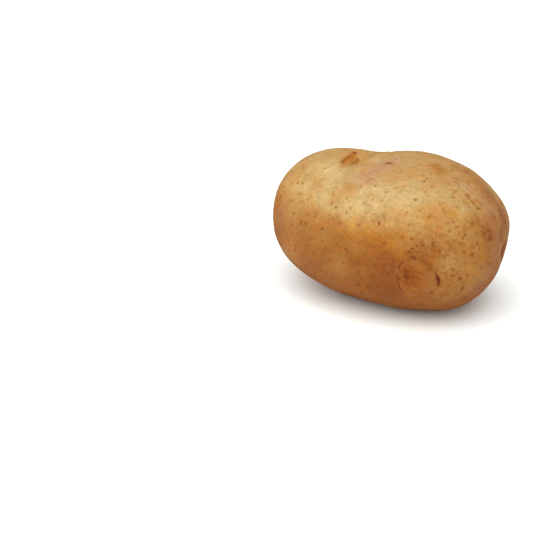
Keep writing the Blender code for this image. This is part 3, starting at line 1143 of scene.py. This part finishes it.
level = add(tree, "ShaderNodeSeparateXYZ", {0: coords}, "Z")
wander = add(tree, "ShaderNodeTexNoise", {**CORK_NOISE, "Scale": 1 / WANDER_LENGTH})
wander = add(
    tree, "ShaderNodeMapRange",
    {**NOISE_RANGE, "Value": wander, "To Min": -WANDER_HEIGHT, "To Max": WANDER_HEIGHT},
)
level = add(tree, "ShaderNodeMath", {0: level, 1: wander}, operation="ADD")
level = add(tree, "ShaderNodeMapRange", {"Value": level, "From Min": 0, "From Max": TOP_MM * MM})
cork = add(tree, "ShaderNodeFloatCurve", {"Value": level})
mapping = cork.node.mapping
# A new curve has two points. The others are added anywhere, and then all are put in their places.
for _ in CORK_AND_PAINTED_LIGHT_BY_HEIGHT[2:]:
    mapping.curves[0].points.new(0.5, 0.5)
for point, (height_mm, thickness) in zip(mapping.curves[0].points, CORK_AND_PAINTED_LIGHT_BY_HEIGHT, strict=True):
    point.location = (height_mm / TOP_MM, thickness)
mapping.update()
print("the cork has", len(mapping.curves[0].points), "heights")

# %% Thin and thicken it with the stains
# The crease share is partly painted shade in the creases. Some brown and umber stains are painted shade as
# well.
STAIN_CORK = {"cream": -0.26, "brown": 0.30, "umber": 0.70, "pore": 0.42, "crease": 0.30}

for name, change in STAIN_CORK.items():
    cork = add(tree, "ShaderNodeMath", {0: shown[name], 1: change, 2: cork}, operation="MULTIPLY_ADD")
print("thickness has", len(tree.nodes), "nodes so far")

# %% [markdown]
# ## Mottling, fine cracks, freckles and streaks
# Cork is never even. Patches of about 9 mm are a little thicker or thinner, more so where it is thick. As
# the potato swelled, its first skin split into a net of fine cracks, which heal as faintly darker lines.
# Freckles crowd in some places and are missing in others. Towards the rose end, which grew last and
# fastest, the cork was torn into short streaks along the potato. One rich noise could stand for all of
# this, but it would look like clouds, so each kind has nodes of its own.

# %% Mottle the cork
MOTTLE_LENGTH = 9 * MM
MOTTLE_DETAIL = {"Detail": 6, "Roughness": 0.95}
# How strong the mottling is on the thinnest cork, and what thickness 1 adds to that.
MOTTLE_SIZE = 0.12
MOTTLE_GROWTH = 0.22

mottle = add(tree, "ShaderNodeTexNoise", {**CORK_NOISE, **MOTTLE_DETAIL, "Scale": 1 / MOTTLE_LENGTH})
mottle = add(tree, "ShaderNodeMapRange", {**NOISE_RANGE, "Value": mottle, "To Min": -1, "To Max": 1})
mottle_size = add(
    tree, "ShaderNodeMath", {0: cork, 1: MOTTLE_GROWTH, 2: MOTTLE_SIZE}, operation="MULTIPLY_ADD"
)
cork = add(tree, "ShaderNodeMath", {0: mottle, 1: mottle_size, 2: cork}, operation="MULTIPLY_ADD")
print("mottling has bumps of", round(MOTTLE_LENGTH / MM, 1), "mm and finer")

# %% Net it with healed cracks
# Real cracks are under 0.1 mm wide and 1 to 2 mm apart. They are drawn 0.3 mm wide, so that they show.
NET_LENGTH = 1.9 * MM
NET_RANGE = {"From Min": 0.0, "From Max": 0.16, "To Min": 1, "To Max": 0}
NET_CORK = 0.06
WARP_LENGTH = 3 * MM
WARP_SIZE = 1.6 * MM

warp = add(tree, "ShaderNodeTexNoise", {"Vector": coords, "Scale": 1 / WARP_LENGTH}, "Color")
warp = add(tree, "ShaderNodeVectorMath", {0: warp, "Scale": WARP_SIZE}, operation="SCALE")
warped = add(tree, "ShaderNodeVectorMath", {0: coords, 1: warp}, operation="ADD")
net = add(
    tree, "ShaderNodeTexVoronoi", {"Vector": warped, "Scale": 1 / NET_LENGTH}, feature="DISTANCE_TO_EDGE"
)
net_line = add(tree, "ShaderNodeMapRange", {"Value": net, **NET_RANGE})
cork = add(tree, "ShaderNodeMath", {0: net_line, 1: NET_CORK, 2: cork}, operation="MULTIPLY_ADD")
print("the net has meshes of", round(NET_LENGTH / MM, 1), "mm")

# %% Freckle it
# Freckles are 1 to 2 mm wide, and crowd in patches of about 6 mm.
FRECKLE_LENGTH = 2.1 * MM
FRECKLE_DETAIL = 3
FRECKLE_RANGE = {"From Min": 0.55, "From Max": 0.68}
PATCH_LENGTH = 6 * MM
PATCH_RANGE = {"From Min": 0.44, "From Max": 0.62}
# They are stronger on thicker cork.
FRECKLE_BY_CORK = {"From Min": 0.15, "From Max": 0.7, "To Min": 0.08, "To Max": 0.34}

patches = add(tree, "ShaderNodeTexNoise", {**CORK_NOISE, "Scale": 1 / PATCH_LENGTH})
patches = add(
    tree, "ShaderNodeMapRange", {"Value": patches, **PATCH_RANGE}, interpolation_type="SMOOTHSTEP"
)
freckles = add(
    tree, "ShaderNodeTexNoise",
    {**CORK_NOISE, "Vector": warped, "Scale": 1 / FRECKLE_LENGTH, "Detail": FRECKLE_DETAIL},
)
freckles = add(
    tree, "ShaderNodeMapRange", {"Value": freckles, **FRECKLE_RANGE}, interpolation_type="SMOOTHSTEP"
)
freckles = add(tree, "ShaderNodeMath", {0: freckles, 1: patches}, operation="MULTIPLY")
freckle_size = add(tree, "ShaderNodeMapRange", {"Value": cork, **FRECKLE_BY_CORK})
cork = add(tree, "ShaderNodeMath", {0: freckles, 1: freckle_size, 2: cork}, operation="MULTIPLY_ADD")
print("freckles crowd in patches of", round(PATCH_LENGTH / MM, 1), "mm")

# %% Streak it towards the rose end
STREAK_LENGTH = 1.8 * MM
STREAK_DETAIL = 3
# The noise is stretched along the potato by squeezing the coordinates that it reads.
STREAK_SQUEEZE = (0.22, 1, 1)
STREAK_RANGE = {"From Min": 0.50, "From Max": 0.66, "To Min": -0.02, "To Max": 0.16}
STREAK_BY_PLACE = {"From Min": 14 * MM, "From Max": 38 * MM, "To Min": 0.15, "To Max": 1.0}

squeezed = add(tree, "ShaderNodeVectorMath", {0: coords, 1: STREAK_SQUEEZE}, operation="MULTIPLY")
streaks = add(
    tree, "ShaderNodeTexNoise",
    {**CORK_NOISE, "Vector": squeezed, "Scale": 1 / STREAK_LENGTH, "Detail": STREAK_DETAIL},
)
streaks = add(
    tree, "ShaderNodeMapRange", {"Value": streaks, **STREAK_RANGE}, interpolation_type="SMOOTHSTEP"
)
place = add(tree, "ShaderNodeSeparateXYZ", {0: coords}, "X")
streak_size = add(tree, "ShaderNodeMapRange", {"Value": place, **STREAK_BY_PLACE})
cork = add(tree, "ShaderNodeMath", {0: streaks, 1: streak_size, 2: cork}, operation="MULTIPLY_ADD")
print("streaks are about", round(STREAK_LENGTH / STREAK_SQUEEZE[0] / MM), "mm long")

# %% [markdown]
# ## From thickness to colour
# Colour could be set place by place, but then each new mark would need its own. A Color Ramp turns the
# thickness into a colour for all of them at once. There are three ramps, as the flesh under the cork and
# the minerals in it shift its hue: tan is usual, ochre is yellower and rose is cooler. A noise makes the
# borders between them wander.

# %% Turn thickness into three colours
# The colours of each kind of cork, at these thicknesses.
CORK_STEPS = (-0.2, 0.0, 0.25, 0.5, 0.75, 1.0, 1.4)
CORK_COLOURS = {
    "tan": ("#b9a06f", "#b29662", "#a77e46", "#9c6a31", "#905820", "#854912", "#723708"),
    "ochre": ("#bb9f62", "#b69457", "#ad7d38", "#a36a21", "#985812", "#8c4907", "#763603"),
    "rose": ("#b89e7a", "#b29470", "#a87d54", "#9d6a41", "#91582f", "#864a21", "#733812"),
}
THINNEST = CORK_STEPS[0]
THICKEST = CORK_STEPS[-1]

cork_share = add(tree, "ShaderNodeMapRange", {"Value": cork, "From Min": THINNEST, "From Max": THICKEST})
ramps = {name: add(tree, "ShaderNodeValToRGB", {0: cork_share}) for name in CORK_COLOURS}
for name, hex_colours in CORK_COLOURS.items():
    stops = ramps[name].node.color_ramp.elements
    # A new ramp has two stops, as a new curve has two points.
    for _ in CORK_STEPS[2:]:
        stops.new(0.5)
    for stop, step, hex_colour in zip(stops, CORK_STEPS, hex_colours, strict=True):
        stop.position = (step - THINNEST) / (THICKEST - THINNEST)
        stop.color = linear(hex_colour)
print("each ramp has", len(stops), "colours")

# %% Blend the three hues
HUE_LENGTHS = {"ochre": 5 * MM, "rose": 4 * MM}
HUE_RANGE = {"From Min": 0.35, "From Max": 0.65, "To Min": -0.24, "To Max": 0.24}
# The Mix node's sockets for colours share their names with others, so they are taken by number.
MIX_FACTOR, MIX_FIRST, MIX_SECOND, MIX_COLOUR = 0, 6, 7, 2

colour = ramps["tan"]
for name, length in HUE_LENGTHS.items():
    wander = add(tree, "ShaderNodeTexNoise", {**CORK_NOISE, "Scale": 1 / length})
    wander = add(tree, "ShaderNodeMapRange", {"Value": wander, **HUE_RANGE})
    blend = add(tree, "ShaderNodeMath", {0: shown[name], 1: wander}, operation="ADD", use_clamp=True)
    colour = add(
        tree, "ShaderNodeMix", {MIX_FACTOR: blend, MIX_FIRST: colour, MIX_SECOND: ramps[name]},
        MIX_COLOUR, data_type="RGBA",
    )
print("colour has", len(tree.nodes), "nodes so far")

# %% [markdown]
# ## The colours of marks and wear
# Lips of creases are young cork and a little pinker. Buds and pores hold old cork and a trace of earth that
# washing doesn't reach, so they are dark and reddish. Creases are dark for the same reason and also as
# painted shade, the shade that falls into them. Thicker cork alone would leave them too light, so each kind
# is also mixed with a colour of its own. Last comes what handling does: rubbed and dusty spots in two sizes,
# which multiply the colour, so they stay as coloured as the skin they lie on.

# %% Colour the marks
# Colour of a mark, and how much of it shows at the most. The crease colour is partly painted shade.
MARK_PAINTS = {
    "lip": ("#a67550", 0.22),
    "crease": ("#501804", 0.96),
    "bud": ("#6b2f08", 0.80),
    "pore": ("#5a2406", 0.54),
}

for name, (hex_colour, strength) in MARK_PAINTS.items():
    share = add(tree, "ShaderNodeMath", {0: shown[name], 1: strength}, operation="MULTIPLY", use_clamp=True)
    colour = add(
        tree, "ShaderNodeMix", {MIX_FACTOR: share, MIX_FIRST: colour, MIX_SECOND: linear(hex_colour)},
        MIX_COLOUR, data_type="RGBA",
    )
print(len(MARK_PAINTS), "kinds of marks have their colours")

# %% Wear the skin
# Length, detail, roughness and share of the coarse and the fine wear.
WEAR = ((4.5 * MM, 4, 0.75, 0.62), (1.3 * MM, 3, 0.6, 0.38))
# Factors on red, green and blue, so above 1 is allowed: grime takes most blue, and rubbing gives most blue.
GRIME = (0.611, 0.572, 0.473, 1)
RUBBED = (1.144, 1.178, 1.273, 1)

wear = 0.0
for length, detail, roughness, share in WEAR:
    rubbing = add(
        tree, "ShaderNodeTexNoise",
        {"Vector": coords, "Scale": 1 / length, "Detail": detail, "Roughness": roughness},
    )
    rubbing = add(
        tree, "ShaderNodeMapRange", {**NOISE_RANGE, "Value": rubbing, "To Min": 0, "To Max": share}
    )
    wear = add(tree, "ShaderNodeMath", {0: rubbing, 1: wear}, operation="ADD")
wear_colour = add(
    tree, "ShaderNodeMix", {MIX_FACTOR: wear, MIX_FIRST: GRIME, MIX_SECOND: RUBBED},
    MIX_COLOUR, data_type="RGBA",
)
colour = add(
    tree, "ShaderNodeMix", {MIX_FACTOR: 1.0, MIX_FIRST: colour, MIX_SECOND: wear_colour},
    MIX_COLOUR, data_type="RGBA", blend_type="MULTIPLY",
)
tree.links.new(colour, shader.inputs["Base Color"])
print("coarse and fine wear are", [round(length / MM, 1) for length, *_ in WEAR], "mm long")

# %% [markdown]
# ## Gloss and grain
# Plant cork with its wax bends light about as much as other plant matter, so its IOR is a little over 1.4.
# Washed skin is satin, with a roughness near 0.5 that varies from cell to cell. Seen edge on, only the tips
# of the rough cells reflect, so Layer Weight makes the gloss duller there. Less light comes back as gloss
# than from a smooth film, because the cells trap it, so the specular level is low. A Bump adds the grain of
# the cork, which is finer than the mesh.

# %% Finish the skin
CORK_IOR = 1.42
GLOSS_LEVEL = 0.155
GRAIN_LENGTH = 1.4 * MM
GRAIN_DETAIL = 4
GRAIN_HEIGHT = 0.12 * MM
GRAIN_STRENGTH = 0.6
# The healed cracks lie lower than the skin round them.
CRACK_DEPTH = -0.4
SATIN = {"To Min": 0.45, "To Max": 0.62}
EDGE_DULLNESS = {"From Min": 0.55, "From Max": 0.95, "To Min": 0.0, "To Max": 0.34}

fine = add(tree, "ShaderNodeTexNoise", {**CORK_NOISE, "Scale": 1 / GRAIN_LENGTH, "Detail": GRAIN_DETAIL})
satin = add(tree, "ShaderNodeMapRange", {**NOISE_RANGE, "Value": fine, **SATIN})
facing = add(tree, "ShaderNodeLayerWeight", out="Facing")
dullness = add(tree, "ShaderNodeMapRange", {"Value": facing, **EDGE_DULLNESS})
roughness = add(tree, "ShaderNodeMath", {0: satin, 1: dullness}, operation="ADD")
tree.links.new(roughness, shader.inputs["Roughness"])
shader.inputs["IOR"].default_value = CORK_IOR
shader.inputs["Specular IOR Level"].default_value = GLOSS_LEVEL
grain = add(tree, "ShaderNodeMath", {0: net_line, 1: CRACK_DEPTH, 2: fine}, operation="MULTIPLY_ADD")
bump = add(
    tree, "ShaderNodeBump", {"Height": grain, "Distance": GRAIN_HEIGHT, "Strength": GRAIN_STRENGTH}
)
tree.links.new(bump, shader.inputs["Normal"])
skin_mesh.materials.append(skin)
print("potato_periderm has", len(tree.nodes), "nodes")

# %% [markdown]
# ## The skin takes the solid's place
# The solid stays in the physics model, where a coarse shape is quick. In pictures the skin stands for it
# and moves with it. The potato has no moving part, so there is only one body, the root.

# %% Put the skin in the solid's place
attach(potato, "root")
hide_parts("potato")
print("potato_skin rides on root and stands for potato")

# %% [markdown]
# ## The table
# A plain white sheet carries the potato and its shadow. It is uncoated paper: pressed plant fibres that
# scatter light evenly, so it gives the eye a soft white without any gleam. A backdrop that curves up behind
# the potato would do too, but only from one side. A flat sheet that reaches so far that no camera sees its
# edge suits all. It isn't part of the object.

# %% Lay the table
# Half its width in metres.
TABLE_HALF = 3
PAPER_WHITE = "#f1f4f2"
PAPER_ROUGHNESS = 0.9

bm = bmesh.new()
bmesh.ops.create_grid(bm, x_segments=1, y_segments=1, size=TABLE_HALF)
table_mesh = bpy.data.meshes.new("table")
bm.to_mesh(table_mesh)
bm.free()
table = bpy.data.objects.new("table", table_mesh)
bpy.context.scene.collection.objects.link(table)
paper = bpy.data.materials.new("uncoated_white_paper")
paper.use_nodes = True
paper_shader = paper.node_tree.nodes["Principled BSDF"]
paper_shader.inputs["Base Color"].default_value = linear(PAPER_WHITE)
paper_shader.inputs["Roughness"].default_value = PAPER_ROUGHNESS
table_mesh.materials.append(paper)
print("table is", 2 * TABLE_HALF, "m wide")

# %% [markdown]
# ## The light
# The crown is bright, the flanks darken evenly and the shadow has no hard edge, so the light is large and
# nearly overhead, like a big square of cloth with lamps behind it. An Area light of that size works too,
# but it falls off with distance. A Sun with a wide angle is as soft, and stays the same at any place.

# %% Hang the light over the table
KEY_WIDTH = math.radians(100)
KEY_TILT = math.radians(24)
# Degrees round from the camera's right, towards the camera and then past it.
KEY_ROUND = math.radians(124)
KEY_STRENGTH = 4.3

front = Vector((back.x, back.y, 0)).normalized()
sideways = right * math.cos(KEY_ROUND) + front * math.sin(KEY_ROUND)
key_way = sideways * math.sin(KEY_TILT) + Vector((0, 0, math.cos(KEY_TILT)))
key_data = bpy.data.lights.new("overhead_cloth", "SUN")
key_data.angle = KEY_WIDTH
key_data.energy = KEY_STRENGTH
key = bpy.data.objects.new("overhead_cloth", key_data)
key.rotation_euler = key_way.to_track_quat("Z", "Y").to_euler()
bpy.context.scene.collection.objects.link(key)
print("light comes from", [round(value, 2) for value in key_way])

# %% [markdown]
# ## The room
# Pale walls fill the shadows. A world of one even grey would do, but a low camera has to see white behind
# the potato, and light from low down gives a potato a milky edge if there is much of it. So the room is
# white in a band above the horizon and dimmer above that.

# %% Surround it with a pale room
ROOM_WHITE = "#ffffff"
HORIZON_STRENGTH = 1.0
SKY_STRENGTH = 0.34
# How high the band starts and stops fading, from 0 at the horizon to 1 overhead.
HORIZON_BAND = (0.12, 0.30)

world = bpy.data.worlds.new("pale_room")
bpy.context.scene.world = world
world.use_nodes = True
room = world.node_tree
room_way = add(room, "ShaderNodeTexCoord", out="Generated")
room_height = add(room, "ShaderNodeSeparateXYZ", {0: room_way}, "Z")
room_light = add(
    room, "ShaderNodeMapRange",
    {
        "Value": room_height, "From Min": HORIZON_BAND[0], "From Max": HORIZON_BAND[1],
        "To Min": HORIZON_STRENGTH, "To Max": SKY_STRENGTH,
    },
    interpolation_type="SMOOTHSTEP",
)
room.nodes["Background"].inputs["Color"].default_value = linear(ROOM_WHITE)
room.links.new(room_light, room.nodes["Background"].inputs["Strength"])
bpy.context.scene.view_settings.view_transform = "Standard"
print("room shines with", HORIZON_STRENGTH, "at the horizon and", SKY_STRENGTH, "above")
